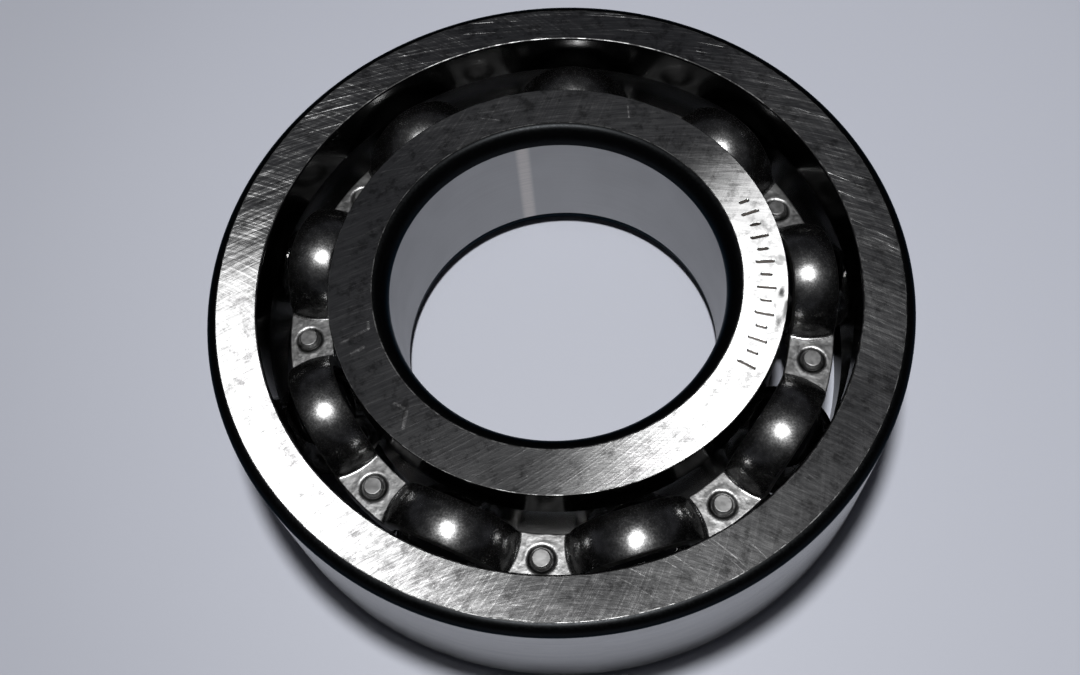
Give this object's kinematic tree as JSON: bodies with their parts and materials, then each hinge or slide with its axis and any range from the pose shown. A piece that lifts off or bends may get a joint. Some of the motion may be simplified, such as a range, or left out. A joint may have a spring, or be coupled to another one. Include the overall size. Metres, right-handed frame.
{
  "type": "deep groove ball bearing",
  "caption": "Open single-row deep groove ball bearing: ground inner and outer rings, steel balls and a riveted pressed-steel ribbon cage.",
  "frame": {"origin": "on the bearing's axis, at half its width, which is also the centre of the bounding box", "axes": "+Z along the bearing's axis, towards the side with the upset ends of the cage rivets; +X through the centre of ball_1"},
  "size_m": [0.062, 0.062, 0.016],
  "materials": {
    "ring_steel": "ground hardened bearing steel",
    "ball_steel": "lapped mirror polish",
    "cage_steel": "pressed strip, satin with drawing marks",
    "rivet_steel": "upset soft steel, dull"
  },
  "bodies": {
    "outer_ring": {"outer_ring": "ring_steel"},
    "inner_ring": {"inner_ring": "ring_steel"},
    "cage": {"cage_upper": "cage_steel", "cage_lower": "cage_steel", "rivet_1": "rivet_steel", "rivet_2": "rivet_steel", "rivet_3": "rivet_steel", "rivet_4": "rivet_steel", "rivet_5": "rivet_steel", "rivet_6": "rivet_steel", "rivet_7": "rivet_steel", "rivet_8": "rivet_steel", "rivet_9": "rivet_steel"},
    "ball_1": {"ball_1": "ball_steel"},
    "ball_2": {"ball_2": "ball_steel"},
    "ball_3": {"ball_3": "ball_steel"},
    "ball_4": {"ball_4": "ball_steel"},
    "ball_5": {"ball_5": "ball_steel"},
    "ball_6": {"ball_6": "ball_steel"},
    "ball_7": {"ball_7": "ball_steel"},
    "ball_8": {"ball_8": "ball_steel"},
    "ball_9": {"ball_9": "ball_steel"}
  },
  "joints": [
    {"name": "inner_spin", "type": "hinge", "parent": "outer_ring", "child": "inner_ring", "pos_m": [0, 0, 0], "axis": [0, 0, 1], "continuous": true},
    {"name": "cage_spin", "type": "hinge", "parent": "outer_ring", "child": "cage", "pos_m": [0, 0, 0], "axis": [0, 0, 1], "continuous": true},
    {"name": "ball_1_spin", "type": "hinge", "parent": "cage", "child": "ball_1", "pos_m": [0.023, 0, 0], "axis": [0, 0, 1], "continuous": true},
    {"name": "ball_2_spin", "type": "hinge", "parent": "cage", "child": "ball_2", "pos_m": [0.01762, 0.01478, 0], "axis": [0, 0, 1], "continuous": true},
    {"name": "ball_3_spin", "type": "hinge", "parent": "cage", "child": "ball_3", "pos_m": [0.00399, 0.02265, 0], "axis": [0, 0, 1], "continuous": true},
    {"name": "ball_4_spin", "type": "hinge", "parent": "cage", "child": "ball_4", "pos_m": [-0.0115, 0.01992, 0], "axis": [0, 0, 1], "continuous": true},
    {"name": "ball_5_spin", "type": "hinge", "parent": "cage", "child": "ball_5", "pos_m": [-0.02161, 0.00787, 0], "axis": [0, 0, 1], "continuous": true},
    {"name": "ball_6_spin", "type": "hinge", "parent": "cage", "child": "ball_6", "pos_m": [-0.02161, -0.00787, 0], "axis": [0, 0, 1], "continuous": true},
    {"name": "ball_7_spin", "type": "hinge", "parent": "cage", "child": "ball_7", "pos_m": [-0.0115, -0.01992, 0], "axis": [0, 0, 1], "continuous": true},
    {"name": "ball_8_spin", "type": "hinge", "parent": "cage", "child": "ball_8", "pos_m": [0.00399, -0.02265, 0], "axis": [0, 0, 1], "continuous": true},
    {"name": "ball_9_spin", "type": "hinge", "parent": "cage", "child": "ball_9", "pos_m": [0.01762, -0.01478, 0], "axis": [0, 0, 1], "continuous": true}
  ],
  "couplings": [
    {"joint": "cage_spin", "follows": "inner_spin", "ratio": 0.39647},
    {"joint": "ball_1_spin", "follows": "inner_spin", "ratio": -2.3112},
    {"joint": "ball_2_spin", "follows": "inner_spin", "ratio": -2.3112},
    {"joint": "ball_3_spin", "follows": "inner_spin", "ratio": -2.3112},
    {"joint": "ball_4_spin", "follows": "inner_spin", "ratio": -2.3112},
    {"joint": "ball_5_spin", "follows": "inner_spin", "ratio": -2.3112},
    {"joint": "ball_6_spin", "follows": "inner_spin", "ratio": -2.3112},
    {"joint": "ball_7_spin", "follows": "inner_spin", "ratio": -2.3112},
    {"joint": "ball_8_spin", "follows": "inner_spin", "ratio": -2.3112},
    {"joint": "ball_9_spin", "follows": "inner_spin", "ratio": -2.3112}
  ]
}
